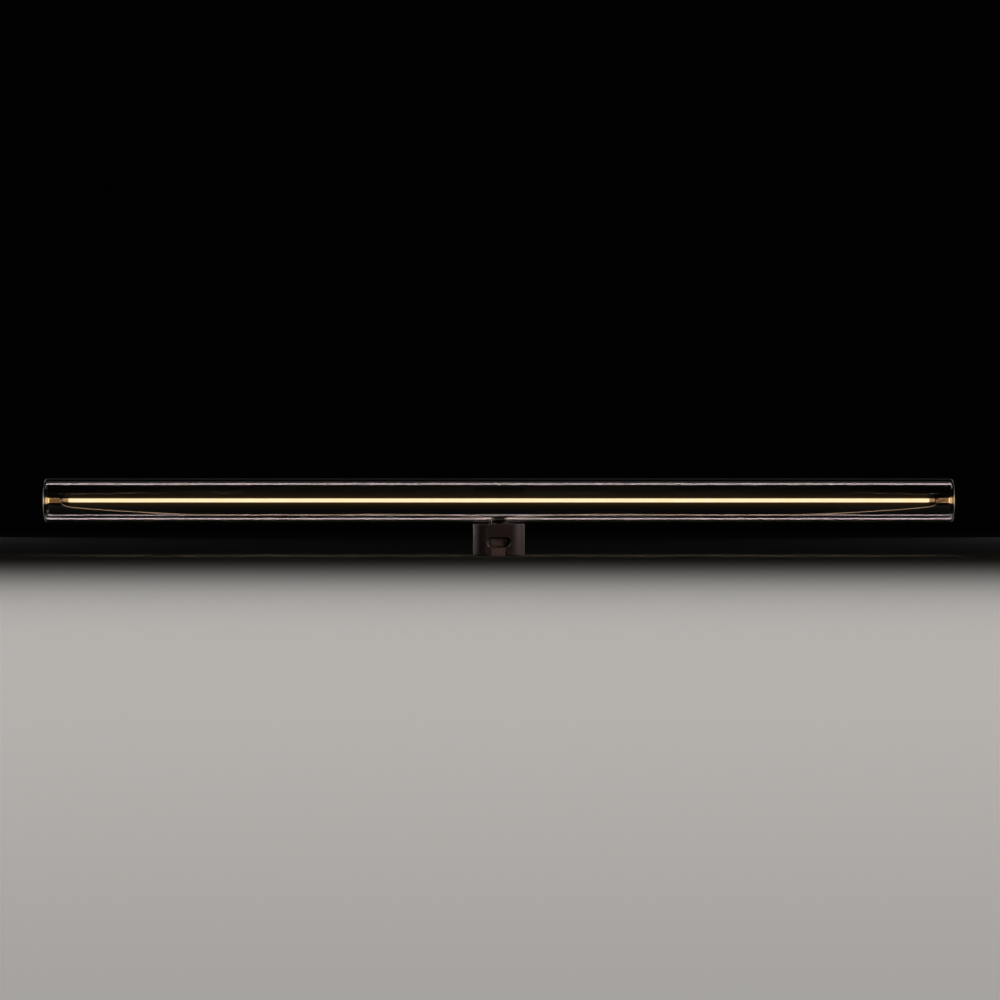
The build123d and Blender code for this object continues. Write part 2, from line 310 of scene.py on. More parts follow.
coat_low, coat_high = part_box("filament_coat")
axis_height = (coat_high.z + coat_low.z) / 2
lit_half = coat_high.x
coat_width = coat_high.z - coat_low.z
coat_thickness = coat_high.y - coat_low.y
coat_end_radius = 0.0004
edge_steps = 6
glow_strength = 1.04
glow_full = 0.6 * coat_width / 2
glow_end = coat_width / 2

coat_ends = [(lit_half - rise, 2 * inset) for rise, inset in rounding(coat_end_radius, edge_steps)]
coat_rings = [(-x, coat_width - ease, coat_thickness - ease) for x, ease in coat_ends]
coat_rings += [(x, coat_width - ease, coat_thickness - ease) for x, ease in reversed(coat_ends)]

phosphor_coat, phosphor_shader, phosphor_grain = moulded_finish(
    "phosphor_coat",
    colours=((0.95, 0.7, 0.3), (1.0, 0.82, 0.46)),
    roughness=(0.45, 0.6),
    scale=6000.0,
    mottle=260.0,
    depth=0.00002,
)
phosphor_tree = phosphor_coat.node_tree
glow_colour = colour_over(phosphor_coat, phosphor_grain, (1.0, 0.82, 0.49), (1.0, 0.89, 0.57))
# Painted shade: the glow turns darker and browner toward the bead's top and bottom edges, standing for the
# bead curving away.
glow_height = away_from(phosphor_tree, places(phosphor_coat)["Z"], axis_height)
glow_edge = fade(phosphor_tree, glow_height, glow_full, glow_end)
painted_glow_edge_shade = colour_over(phosphor_coat, glow_edge, (0.6, 0.46, 0.32), (1.0, 1.0, 1.0))
glow = multiplied(phosphor_tree, glow_colour, painted_glow_edge_shade)
phosphor_tree.links.new(glow, phosphor_shader.inputs["Emission Color"])
phosphor_shader.inputs["Emission Strength"].default_value = glow_strength

coat_mesh = lofted_obround(coat_rings, lambda u, v, x: (x, v, axis_height + u))
coat_mesh.materials.append(phosphor_coat)
phosphor_bead = new_piece("phosphor_bead", coat_mesh)
settle(phosphor_bead, "phosphor_coat", "filament_coat")


# Ferrules: a short sleeve of nickel-plated sheet crimped on each end of the carrier.
# Its other end grips the support wire, and its edges are rounded where the sheet was folded.
weld_distance = 1e-6
flat_angle = 1.0


def joined_copy(node):
    """A CAD solid as one closed mesh with whole flat faces."""
    form = bmesh.new()
    form.from_mesh(frame["nodes"][node].data)
    bmesh.ops.remove_doubles(form, verts=form.verts, dist=weld_distance)
    bmesh.ops.dissolve_limit(
        form, angle_limit=math.radians(flat_angle), verts=form.verts, edges=form.edges
    )
    mesh = mesh_from(form, node)
    if "custom_normal" in mesh.attributes:
        mesh.attributes.remove(mesh.attributes["custom_normal"])
    return mesh


def ease_edges(piece, width, segments=2, sharp_angle=30.0):
    """A narrow rounded edge wherever two faces meet at more than the sharp angle."""
    bevel = piece.modifiers.new("eased_edges", "BEVEL")
    bevel.width = width
    bevel.segments = segments
    bevel.limit_method = "ANGLE"
    bevel.angle_limit = math.radians(sharp_angle)
    weld = piece.modifiers.new("joined_corners", "WELD")
    weld.merge_threshold = weld_distance


def eased_piece(name, node, slot, material, width):
    """A joined copy of a CAD solid with eased edges and its own finish, standing for that solid."""
    mesh = joined_copy(node)
    mesh.materials.append(material)
    piece = new_piece(name, mesh)
    ease_edges(piece, width)
    settle(piece, slot, node)
    return piece


ferrule_metal = drawn_metal(
    "ferrule_metal",
    colours=((0.36, 0.235, 0.135), (0.58, 0.4, 0.25)),
    roughness=(0.25, 0.4),
    scale=5000.0,
)
ferrule_edge = 0.00008
inner_metal = [
    eased_piece(f"crimped_sleeve_{side}", f"ferrule_{side}", "ferrule_metal", ferrule_metal, ferrule_edge)
    for side in ("left", "right")
]


# Support wires: a straight nickel wire from each ferrule to the end rod, where it is set in the glass.
# They hold the filament on the axis. Drawing leaves fine lines along them, and the weld a bronze tint.
def geometry_tree(name, **inputs):
    """An empty geometry tree that takes a curve, the named sizes and a material."""
    tree = bpy.data.node_groups.new(name, "GeometryNodeTree")
    tree.interface.new_socket("Curve", in_out="INPUT", socket_type="NodeSocketGeometry")
    for label, kind in inputs.items():
        tree.interface.new_socket(label.replace("_", " ").title(), in_out="INPUT", socket_type=kind)
    tree.interface.new_socket("Material", in_out="INPUT", socket_type="NodeSocketMaterial")
    tree.interface.new_socket("Mesh", in_out="OUTPUT", socket_type="NodeSocketGeometry")
    return tree, tree.nodes.new("NodeGroupInput").outputs


def close_tree(tree, given, mesh):
    """Ends a tree: instances made real, and the material set."""
    real = add_node(tree, "GeometryNodeRealizeInstances", geometry=mesh)
    painted = add_node(
        tree, "GeometryNodeSetMaterial", geometry=real.outputs[0], material=given["Material"]
    )
    tree.links.new(painted.outputs[0], tree.nodes.new("NodeGroupOutput").inputs[0])


def along_axis(run, way=1):
    """A run of (x, radius) pairs as points on the tube's axis, or mirrored with a way of -1."""
    return [((way * x, 0, axis_height), radius) for x, radius in run]


def path_curve(name, runs, kind="POLY"):
    """A curve object with one spline for each run of (place, radius) pairs."""
    curve = bpy.data.curves.new(name, "CURVE")
    curve.dimensions = "3D"
    for run in runs:
        spline = curve.splines.new(kind)
        spline.points.add(len(run) - 1)
        for point, (place, radius) in zip(spline.points, run):
            point.co = (*place, 1)
            point.radius = radius
        spline.order_u = 3
        spline.use_endpoint_u = True
    return new_object(name, curve)


def grow_piece(name, path, tree, material, **sizes):
    """Runs a tree along a path and keeps the result as a plain mesh piece."""
    modifier = path.modifiers.new(tree.name, "NODES")
    modifier.node_group = tree
    values = {label.replace("_", " ").title(): value for label, value in sizes.items()}
    values["Material"] = material
    for item in tree.interface.items_tree:
        if item.in_out == "INPUT" and item.name in values:
            modifier[item.identifier] = values[item.name]
    graph = bpy.context.evaluated_depsgraph_get()
    mesh = bpy.data.meshes.new_from_object(path.evaluated_get(graph), depsgraph=graph)
    curve = path.data
    bpy.data.objects.remove(path)
    bpy.data.curves.remove(curve)
    return new_piece(name, mesh)


wire_tree, given = geometry_tree("drawn_wire", wire_radius="NodeSocketFloat", sides="NodeSocketInt")
wire_round = add_node(
    wire_tree, "GeometryNodeCurvePrimitiveCircle", resolution=given["Sides"], radius=given["Wire Radius"]
)
wire_body = add_node(
    wire_tree,
    "GeometryNodeCurveToMesh",
    curve=given["Curve"],
    profile_curve=wire_round.outputs[0],
    fill_caps=True,
)
close_tree(wire_tree, given, wire_body.outputs[0])

support_metal = drawn_metal(
    "support_wire",
    colours=((0.42, 0.31, 0.21), (0.72, 0.56, 0.42)),
    roughness=(0.2, 0.35),
    scale=6000.0,
)
wire_sides = 16
for side in ("left", "right"):
    low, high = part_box(f"support_wire_{side}")
    support = grow_piece(
        f"drawn_support_{side}",
        path_curve("support_path", [along_axis([(low.x, 1.0), (high.x, 1.0)])]),
        wire_tree,
        support_metal,
        wire_radius=(high.z - low.z) / 2,
        sides=wire_sides,
    )
    settle(support, "support_wire", f"support_wire_{side}")
    inner_metal.append(support)


# End rods: a short glass rod fused to the inside of each end of the tube, flared where it meets the wall.
# The support wire is set in its fire-polished tip. Its amber glow is painted light, an emission that stands
# for the filament's light running along it.
def revolved(tree, curve, sides):
    """Nodes that turn straight splines into closed round bodies, with the radius read from each point."""
    ring = add_node(tree, "GeometryNodeCurvePrimitiveCircle", resolution=sides, radius=1.0)
    radius = tree.nodes.new("GeometryNodeInputRadius")
    body = add_node(
        tree,
        "GeometryNodeCurveToMesh",
        curve=curve,
        profile_curve=ring.outputs[0],
        scale=radius.outputs[0],
        fill_caps=True,
    )
    welded = add_node(
        tree, "GeometryNodeMergeByDistance", geometry=body.outputs[0], distance=weld_distance
    )
    return welded.outputs[0]


rod_form, given = geometry_tree("turned_rod", sides="NodeSocketInt")
close_tree(rod_form, given, revolved(rod_form, given["Curve"], given["Sides"]))

rod_radius = 0.0013
rod_flare_length = 0.0016
rod_fuse_depth = 0.0001
rod_tip_rounding = 0.0005
rod_flare_steps = 8
rod_sides = 48
rod_bright_run = 0.0028
rod_glow_edge = 1.2 * rod_radius
rod_streak_gain = 1.4
rod_streak_base = 0.3
rod_low, rod_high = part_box("end_rod_right")
flare = (rod_high.z - rod_low.z) / 2 - rod_radius
tip_x, seat_x = rod_low.x, rod_high.x

rod_glass, rod_shader, rod_place = new_material("rod_glass")
rod_tree = rod_glass.node_tree
rod_lines = place_group(
    rod_glass, drawn_lines, coordinates=rod_place, stretch=(0.06, 1.0, 1.0), scale=1400.0
)["Lines"]
surface_from(
    rod_glass,
    rod_shader,
    rod_lines,
    colours=((0.9, 0.82, 0.7), (1.0, 0.96, 0.9)),
    roughness=(0.05, 0.2),
    depth=0.00001,
)
rod_shader.inputs["Transmission Weight"].default_value = 0.9
rod_shader.inputs["IOR"].default_value = 1.5
# Painted light: an amber emission, brightest where the rod meets the wall, fading toward the tip and off
# the flare, in streaks along the drawn lines.
rod_at = places(rod_glass)
rod_aside = math_node(rod_tree, "POWER", away_from(rod_tree, rod_at["Y"], 0.0), 2.0)
rod_above = math_node(rod_tree, "POWER", away_from(rod_tree, rod_at["Z"], axis_height), 2.0)
rod_off_axis = math_node(rod_tree, "SQRT", math_node(rod_tree, "ADD", rod_aside, rod_above))
rod_core = fade(rod_tree, rod_off_axis, rod_radius, rod_glow_edge)
rod_along = away_from(rod_tree, rod_at["X"], 0.0)
rod_near_tip = fade(rod_tree, rod_along, seat_x - rod_bright_run, seat_x)
rod_painted_glow = colour_over(rod_glass, rod_near_tip, (0.95, 0.62, 0.28), (0.052, 0.023, 0.005))
rod_painted_streak = math_node(rod_tree, "MULTIPLY_ADD", rod_lines, rod_streak_gain, rod_streak_base)
rod_painted_light = multiplied(rod_tree, rod_painted_glow, math_node(rod_tree, "MULTIPLY", rod_core, rod_painted_streak))
rod_tree.links.new(rod_painted_light, rod_shader.inputs["Emission Color"])
rod_shader.inputs["Emission Strength"].default_value = 1.0

rod_run = [(tip_x + rise, rod_radius - inset) for rise, inset in rounding(rod_tip_rounding, edge_steps)]
rod_run += [
    (seat_x - rod_flare_length * (1 - share), rod_radius + flare * (1 - math.sqrt(1 - share * share)))
    for share in [step / rod_flare_steps for step in range(rod_flare_steps + 1)]
]
rod_run.append((seat_x + rod_fuse_depth, rod_radius + flare))
end_rods = []
for side, way in (("left", -1), ("right", 1)):
    rod_path = path_curve("rod_path", [along_axis(rod_run, way)])
    rod = grow_piece(f"fused_rod_{side}", rod_path, rod_form, rod_glass, sides=rod_sides)
    settle(rod, "rod_glass", f"end_rod_{side}")
    end_rods.append(rod)


# Lead wires: a bare nickel wire on each side, from the driver board up through the press and the neck.
# Each bends over the neck's rim, bows along the bottom of the tube and rises to its end of the filament.
# The bow is given as shares of the way to the end and of the bore's radius below the axis.
lead_metal = drawn_metal(
    "lead_wire",
    colours=((0.5, 0.41, 0.33), (0.8, 0.69, 0.58)),
    roughness=(0.18, 0.32),
    scale=6000.0,
)
lead_radius = 0.00025
lead_x = 0.0039
lead_foot = 0.008
lead_end_x = 0.2403
lead_neck_bend = 0.0007
tube_bore = 0.0108
lead_neck_drop = 0.895
lead_end_drop = 0.27
lead_bow = [(0.06, 0.8), (0.21, 0.7), (0.52, 0.78), (0.7, 0.74), (0.86, 0.56), (0.97, 0.38)]

lead_neck_height = axis_height - lead_neck_drop * tube_bore
lead_points = [
    (lead_x, lead_foot),
    (lead_x, lead_neck_height - lead_neck_bend),
    (lead_x + lead_neck_bend, lead_neck_height),
]
lead_points += [
    (lead_x + along * (lead_end_x - lead_x), axis_height - down * tube_bore) for along, down in lead_bow
]
lead_points += [
    (lead_end_x, axis_height - lead_end_drop * tube_bore),
    (lead_end_x, axis_height - lead_radius),
]
for side, way in (("left", -1), ("right", 1)):
    lead_run = [((way * x, 0, z), 1.0) for x, z in lead_points]
    lead_path = path_curve("lead_path", [lead_run], "NURBS")
    lead = grow_piece(
        f"drawn_lead_{side}", lead_path, wire_tree, lead_metal, wire_radius=lead_radius, sides=wire_sides
    )
    settle(lead, "lead_wire", f"lead_wire_{side}")
    inner_metal.append(lead)


# Glass envelope: a drawn clear tube, its ends closed to shallow domes, with a side neck under its middle.
# The neck's foot is pinched flat round the two leads and keeps the sealed stub of the exhaust tube.
# Tube and neck are melted together into one piece of soda glass, so one mesh stands for both solids.
clear_glass, glass_shader, glass_place = new_material("clear_glass")
glass_lines = place_group(
    clear_glass, drawn_lines, coordinates=glass_place, stretch=(0.03, 1.0, 1.0), scale=160.0
)["Lines"]
glass_tint = colour_over(clear_glass, glass_lines, (0.965, 0.985, 0.98), (1.0, 1.0, 1.0))
clear_glass.node_tree.links.new(glass_tint, glass_shader.inputs["Base Color"])
fine_relief(clear_glass, glass_shader, glass_lines, depth=0.000002)
glass_shader.inputs["Roughness"].default_value = 0.0
glass_shader.inputs["IOR"].default_value = 1.5
glass_shader.inputs["Transmission Weight"].default_value = 1.0

tube_low, tube_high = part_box("glass_tube")
tube_half = tube_high.x
tube_radius = (tube_high.z - tube_low.z) / 2
end_wall = 0.0016
end_dome_radius = 0.072
end_shoulder_radius = 0.002
inner_dome_radius = 0.6
inner_shoulder_radius = 0.001
tube_rings = (0.2, 0.1, 0.05, 0.025, 0.0125, 0.007)
tube_sides = 192


def domed_run(end, radius, dome, shoulder, steps=10):
    """(x, radius) pairs of a closed tube, from the pole of its right end to that of its left end."""
    dome_x = end - dome
    shoulder_r = radius - shoulder
    shoulder_x = dome_x + math.sqrt((dome - shoulder) ** 2 - shoulder_r**2)
    turn = math.atan2(shoulder_r, shoulder_x - dome_x)
    half = []
    for i in range(steps):
        angle = turn * i / steps
        half.append((dome_x + dome * math.cos(angle), dome * math.sin(angle)))
    for i in range(steps + 1):
        angle = turn + (math.pi / 2 - turn) * i / steps
        half.append((shoulder_x + shoulder * math.cos(angle), shoulder_r + shoulder * math.sin(angle)))
    half += [(x, radius) for x in tube_rings]
    return half + [(-x, r) for x, r in reversed(half)]


def upright(x, run):
    """A run of (z, radius) pairs as points on a vertical line at x."""
    return [((x, 0, z), radius) for z, radius in run]


stem_low, stem_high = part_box("glass_stem")
neck_radius = stem_high.x
neck_wall = 0.0009
neck_floor = 0.0141
press_top = 0.0119
press_bottom = 0.0104
press_half = 0.0016
pinch_height = neck_floor - press_top
pinch_steps = 10
exhaust_radius = 0.0012
exhaust_tip_rounding = 0.8 * exhaust_radius

neck_run = [(press_bottom, neck_radius)]
neck_run += [
    (press_top + pinch_height * step / pinch_steps, neck_radius) for step in range(pinch_steps + 1)
]
neck_run.append((axis_height, neck_radius))
exhaust_tip = rounding(exhaust_tip_rounding, edge_steps)
exhaust_run = [(stem_low.z + rise, exhaust_radius - inset) for rise, inset in exhaust_tip]
exhaust_run.append((press_top, exhaust_radius))
bore_run = [(neck_floor, neck_radius - neck_wall), (axis_height + neck_wall, neck_radius - neck_wall)]
lead_hole_run = [(stem_low.z, lead_radius), (neck_floor + neck_wall, lead_radius)]

glass_runs = [
    along_axis(domed_run(tube_half, tube_radius, end_dome_radius, end_shoulder_radius)),
    upright(0, neck_run),
    upright(0, exhaust_run),
]
hollow_runs = [
    along_axis(domed_run(tube_half - end_wall, tube_bore, inner_dome_radius, inner_shoulder_radius)),
    upright(0, bore_run),
    upright(-lead_x, lead_hole_run),
    upright(lead_x, lead_hole_run),
]

envelope_tree, given = geometry_tree(
    "glass_envelope",
    glass_splines="NodeSocketInt",
    sides="NodeSocketInt",
    neck_radius="NodeSocketFloat",
    neck_floor="NodeSocketFloat",
    press_top="NodeSocketFloat",
    press_half="NodeSocketFloat",
)
spline_number = envelope_tree.nodes.new("GeometryNodeInputIndex").outputs[0]
is_glass = math_node(envelope_tree, "LESS_THAN", spline_number, given["Glass Splines"])
runs = add_node(envelope_tree, "GeometryNodeSeparateGeometry", geometry=given["Curve"], selection=is_glass)
runs.domain = "CURVE"
glass_body = revolved(envelope_tree, runs.outputs["Selection"], given["Sides"])
hollow_body = revolved(envelope_tree, runs.outputs["Inverted"], given["Sides"])

point = envelope_tree.nodes.new("GeometryNodeInputPosition").outputs[0]
point_at = add_node(envelope_tree, "ShaderNodeSeparateXYZ", vector=point).outputs
pinch = add_node(
    envelope_tree,
    "ShaderNodeMapRange",
    value=point_at["Z"],
    from_min=given["Press Top"],
    from_max=given["Neck Floor"],
    to_min=given["Press Half"],
    to_max=given["Neck Radius"],
)
pinch.interpolation_type = "SMOOTHSTEP"
pinch_back = math_node(envelope_tree, "MINIMUM", point_at["Y"], pinch.outputs[0])
pinch_front = math_node(envelope_tree, "MULTIPLY", pinch.outputs[0], -1.0)
pinched = add_node(
    envelope_tree,
    "ShaderNodeCombineXYZ",
    x=point_at["X"],
    y=math_node(envelope_tree, "MAXIMUM", pinch_back, pinch_front),
    z=point_at["Z"],
)
pressed_body = add_node(
    envelope_tree,
    "GeometryNodeSetPosition",
    geometry=glass_body,
    selection=math_node(envelope_tree, "LESS_THAN", point_at["Z"], given["Neck Floor"]),
    position=pinched.outputs[0],
)
blown = add_node(
    envelope_tree, "GeometryNodeMeshBoolean", mesh_1=pressed_body.outputs[0], mesh_2=hollow_body
)
blown.operation = "DIFFERENCE"
blown.solver = "EXACT"
blown.inputs["Self Intersection"].default_value = True
welded = add_node(
    envelope_tree, "GeometryNodeMergeByDistance", geometry=blown.outputs[0], distance=weld_distance
)
close_tree(envelope_tree, given, welded.outputs[0])

glass_envelope = grow_piece(
    "glass_envelope",
    path_curve("envelope_path", glass_runs + hollow_runs),
    envelope_tree,
    clear_glass,
    glass_splines=len(glass_runs),
    sides=tube_sides,
    neck_radius=neck_radius,
    neck_floor=neck_floor,
    press_top=press_top,
    press_half=press_half,
)
glass_envelope.visible_shadow = False
glass_envelope.visible_diffuse = False
settle(glass_envelope, "clear_glass", "glass_tube", "glass_stem")


# Driver board: a slip of glass-cloth laminate under a pale satin solder mask, stood on the bottom plate.
# It carries the driver parts on its front, and the lead wires and contact tails meet its two faces.
board_laminate, *_ = moulded_finish(
    "board_laminate",
    colours=((0.66, 0.63, 0.52), (0.82, 0.8, 0.7)),
    roughness=(0.35, 0.5),
    scale=2600.0,
    mottle=500.0,
    depth=0.00002,
)
board_edge = 0.00008
board = eased_piece("laminate_board", "driver_board", "board_laminate", board_laminate, board_edge)
driver_parts = [board]


# Chip packages: the bridge rectifier and the driver chip, black epoxy moulded round a stamped lead frame.
# Their flat tinned pins lie on the board, out of both sides of the body.
def near_ends(node, reach):
    """A test for face middles that lie within a reach of a solid's left or right end."""
    low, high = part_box(node)
    return lambda middle: not low.x + reach < middle.x < high.x - reach


def metal_faces(piece, metal, is_metal):
    """Gives the faces that the test picks out the metal finish."""
    piece.data.materials.append(metal)
    for face in piece.data.polygons:
        if is_metal(face.center):
            face.material_index = len(piece.data.materials) - 1


chip_plastic, *_ = moulded_finish(
    "chip_plastic",
    colours=((0.016, 0.016, 0.018), (0.04, 0.04, 0.043)),
    roughness=(0.4, 0.6),
    scale=9000.0,
    mottle=900.0,
    depth=0.00001,
)
tinned_metal = drawn_metal(
    "tinned_metal", colours=((0.55, 0.54, 0.52), (0.78, 0.77, 0.75)), roughness=(0.25, 0.4)
)
package_edge = 0.00005
pin_reach = 0.00054
for node, name in (("bridge_rectifier", "rectifier_package"), ("driver_chip", "chip_package")):
    package = eased_piece(name, node, "chip_plastic", chip_plastic, package_edge)
    metal_faces(package, tinned_metal, near_ends(node, pin_reach))
    driver_parts.append(package)


# Fuse resistor: a flat ceramic chip with a lacquered face.
# It is soldered to the board at its two metal ends.
fuse_body, *_ = moulded_finish(
    "fuse_body",
    colours=((0.4, 0.47, 0.36), (0.6, 0.67, 0.54)),
    roughness=(0.25, 0.4),
    scale=7000.0,
    mottle=1200.0,
    depth=0.00001,
)
fuse_end = 0.0005
fuse = eased_piece("fuse_chip", "fuse_resistor", "fuse_body", fuse_body, package_edge)
metal_faces(fuse, tinned_metal, near_ends("fuse_resistor", fuse_end))
driver_parts.append(fuse)


# Smoothing capacitor: an aluminium can in a plain dark sleeve, stood in the round end of the cap.
# Its two flattened leads are bent under it to the faces of the board.
capacitor_can, *_ = moulded_finish(
    "capacitor_can",
    colours=((0.1, 0.1, 0.14), (0.2, 0.2, 0.25)),
    roughness=(0.22, 0.36),
    scale=3000.0,
    mottle=700.0,
    depth=0.00001,
)
capacitor_edge = 0.0002
capacitor_foot = 0.0026
capacitor_top = 0.0120
level_slack = 0.0000026
capacitor = eased_piece(
    "capacitor_sleeve", "smoothing_capacitor", "capacitor_can", capacitor_can, capacitor_edge
)
metal_faces(
    capacitor,
    tinned_metal,
    lambda middle: middle.z < capacitor_foot - level_slack or middle.z > capacitor_top,
)
driver_parts.append(capacitor)


# Contact strips: a stamped blade of nickel-washed brass on the floor of each pocket.
# Its tail goes through a slot in the pocket's wall to the board, and its corners are clipped.
# The blade's colour is painted a dull dark brown, far darker than nickel-washed brass: painted shade that
# makes it read as the shaded floor of its pocket.
contact_metal = drawn_metal(
    "contact_metal",
    colours=((0.18, 0.127, 0.103), (0.3, 0.217, 0.175)),
    roughness=(0.48, 0.62),
    scale=4000.0,
)
contact_edge = 0.00008
contact_blades = [
    eased_piece(f"contact_blade_{side}", f"contact_{side}", "contact_metal", contact_metal, contact_edge)
    for side in ("front", "back")
]


# Cap shell: an oval peg moulded in brown-black plastic, with soft edges at its foot and brow.
# Each long side has a pocket for the lampholder's contact and a ramp that leads the contact up to it.
# It is hollow below for the driver, and a round hole in its top takes the glass neck.
shell_low, shell_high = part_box("cap_shell")
cap_length = shell_high.x - shell_low.x
cap_depth = shell_high.y - shell_low.y
cap_height = shell_high.z
cap_wall = 0.0016
cap_top = 0.0015
cap_foot_radius = 0.0008
cap_brow_radius = 0.0004
cap_sharp_angle = 40.0
plate_rim = 0.0012
plate_thickness = 0.0014
cement_gap = 0.0003
pocket_length = 0.0132
pocket_height = 0.0055
pocket_depth = 0.0036
pocket_base = 0.0046
pocket_wall = 0.0009
pocket_lip = 0.0003
small_edge_steps = 5
cove_length = 0.0015
cove_height = 0.0003
cove_depth = 0.0022
cove_steps = 10
ramp_width = 0.009
ramp_depth = 0.0007
ramp_slope = pocket_base / ramp_depth
tail_width = 0.0023
tail_thickness = 0.0007
tail_x = -0.002
tail_z = 0.00555
cut_margin = 0.0005
ramp_mark_softness = 0.0008
wear_and_light_gain = 2.5
ramp_mark_start = cap_depth / 2 - 2 * ramp_depth
ramp_mark_full = cap_depth / 2 - 1.5 * ramp_depth
pocket_middle = pocket_base + pocket_height / 2
block_top = pocket_base + pocket_height + pocket_wall
block_half = pocket_length / 2 + pocket_wall
block_face = cap_depth / 2 - pocket_depth - pocket_wall
neck_hole_width = 2 * (neck_radius + cement_gap)

cap_plastic, cap_shader, _ = moulded_finish(
    "cap_plastic",
    colours=((0.040, 0.0255, 0.0212), (0.052, 0.0332, 0.0283)),
    roughness=(0.45, 0.6),
    scale=5200.0,
    mottle=420.0,
    depth=0.000012,
)
cap_shader.inputs["Specular IOR Level"].default_value = 0.2
cap_tree = cap_plastic.node_tree
cap_at = places(cap_plastic)
# The ramp's outer face is painted lighter: partly rubbing wear from the lampholder's contact, partly a
# painted highlight where the ramp catches the light.
cap_aside = away_from(cap_tree, cap_at["X"], 0.0)
cap_outwards = away_from(cap_tree, cap_at["Y"], 0.0)
ramp_mark_across = fade(cap_tree, cap_aside, ramp_width / 2 - ramp_mark_softness, ramp_width / 2)
ramp_mark_below = fade(cap_tree, cap_at["Z"], pocket_base - ramp_mark_softness, pocket_base)
inside_face = fade(cap_tree, cap_outwards, ramp_mark_start, ramp_mark_full)
wear_and_light_mark = math_node(cap_tree, "MULTIPLY", ramp_mark_across, ramp_mark_below)
wear_and_light_mark = math_node(cap_tree, "MULTIPLY", wear_and_light_mark, math_node(cap_tree, "SUBTRACT", 1.0, inside_face))
wear_and_light_lift = math_node(cap_tree, "ADD", 1.0, math_node(cap_tree, "MULTIPLY", wear_and_light_mark, wear_and_light_gain))
moulded_colour = cap_shader.inputs["Base Color"].links[0].from_socket
cap_tree.links.new(multiplied(cap_tree, moulded_colour, wear_and_light_lift), cap_shader.inputs["Base Color"])


def standing(u, v, height):
    """Places an obround ring flat at a height above the seat."""
    return (u, v, height)


def box_mesh(low, high):
    """A block between two corners, as a mesh for cutting."""
    form = bmesh.new()
    bmesh.ops.create_cube(form, size=1.0)
    for vert in form.verts:
        vert.co = [b + (a + 0.5) * (t - b) for a, b, t in zip(vert.co, low, high)]
    return mesh_from(form, "block")


def cut_mesh(body, *cutters):
    """The body with every cutter taken out of it, one after the other."""
    target = new_object("cut_body", body)
    tools = []
    for cutter in cutters:
        tool = new_object("cut_tool", cutter)
        cut = target.modifiers.new("cut", "BOOLEAN")
        cut.operation = "DIFFERENCE"
        cut.solver = "EXACT"
        cut.object = tool
        tools.append(tool)
    graph = bpy.context.evaluated_depsgraph_get()
    mesh = bpy.data.meshes.new_from_object(target.evaluated_get(graph), depsgraph=graph)
    for spare in [target, *tools]:
        bpy.data.objects.remove(spare)
    form = bmesh.new()
    form.from_mesh(mesh)
    bmesh.ops.remove_doubles(form, verts=form.verts, dist=weld_distance)
    bmesh.ops.dissolve_degenerate(form, edges=form.edges, dist=weld_distance)
    form.to_mesh(mesh)
    form.free()
    return mesh


def cap_ring(height, inset):
    """An obround ring at a height, inset from the cap's outline."""
    return (height, cap_length - 2 * inset, cap_depth - 2 * inset)


def cap_loft(inset, low, high):
    """An obround block inset from the cap's outline, between two heights, as a mesh for cutting."""
    return lofted_obround([cap_ring(low, inset), cap_ring(high, inset)], standing)


cap_foot = rounding(cap_foot_radius, edge_steps)
cap_brow = rounding(cap_brow_radius, small_edge_steps)
cap_rings = [cap_ring(rise, inset) for rise, inset in cap_foot]
cap_rings += [cap_ring(cap_height - rise, inset) for rise, inset in reversed(cap_brow)]

pocket_blocks = []
for way in (-1, 1):
    near, far = sorted((way * block_face, way * cap_depth))
    pocket_blocks.append(box_mesh((-block_half, near, -cut_margin), (block_half, far, block_top)))
cavity = cut_mesh(
    cap_loft(cap_wall, plate_thickness - cut_margin, cap_height - cap_top), *pocket_blocks
)
neck_hole = lofted_obround(
    [(height, neck_hole_width, neck_hole_width) for height in (press_top, cap_height + cut_margin)],
    standing,
)
cap_cutters = [cap_loft(plate_rim, -cut_margin, plate_thickness), cavity, neck_hole]

pocket_rings = [(-cut_margin, pocket_length + 2 * pocket_lip, pocket_height + 2 * pocket_lip)]
pocket_rings += [
    (rise, pocket_length + 2 * inset, pocket_height + 2 * inset)
    for rise, inset in rounding(pocket_lip, small_edge_steps)
]
pocket_rings += [
    (
        pocket_depth - cove_depth * rise,
        pocket_length - 2 * cove_length * inset,
        pocket_height - 2 * cove_height * inset,
    )
    for rise, inset in reversed(rounding(1.0, cove_steps))
]
for way in (-1, 1):
    face = way * cap_depth / 2
    cap_cutters.append(
        lofted_obround(pocket_rings, lambda u, v, depth: (u, face - way * depth, pocket_middle + v))
    )
    ramp_outline = [
        (face + way * cut_margin, pocket_base + cut_margin * ramp_slope),
        (face - way * (ramp_depth + cut_margin / ramp_slope), -cut_margin),
        (face + way * cut_margin, -cut_margin),
    ]
    cap_cutters.append(
        lofted([[(x, y, z) for y, z in ramp_outline] for x in (-ramp_width / 2, ramp_width / 2)])
    )
    near, far = sorted((way * (block_face - cut_margin), way * (block_face + pocket_wall + cut_margin)))
    cap_cutters.append(
        box_mesh(
            (tail_x - tail_width / 2, near, tail_z - tail_thickness / 2),
            (tail_x + tail_width / 2, far, tail_z + tail_thickness / 2),
        )
    )

cap_mesh = cut_mesh(lofted_obround(cap_rings, standing), *cap_cutters)
cap_mesh.materials.clear()
cap_mesh.materials.append(cap_plastic)
moulded_cap = new_piece("moulded_cap", cap_mesh, cap_sharp_angle)
settle(moulded_cap, "cap_plastic", "cap_shell")


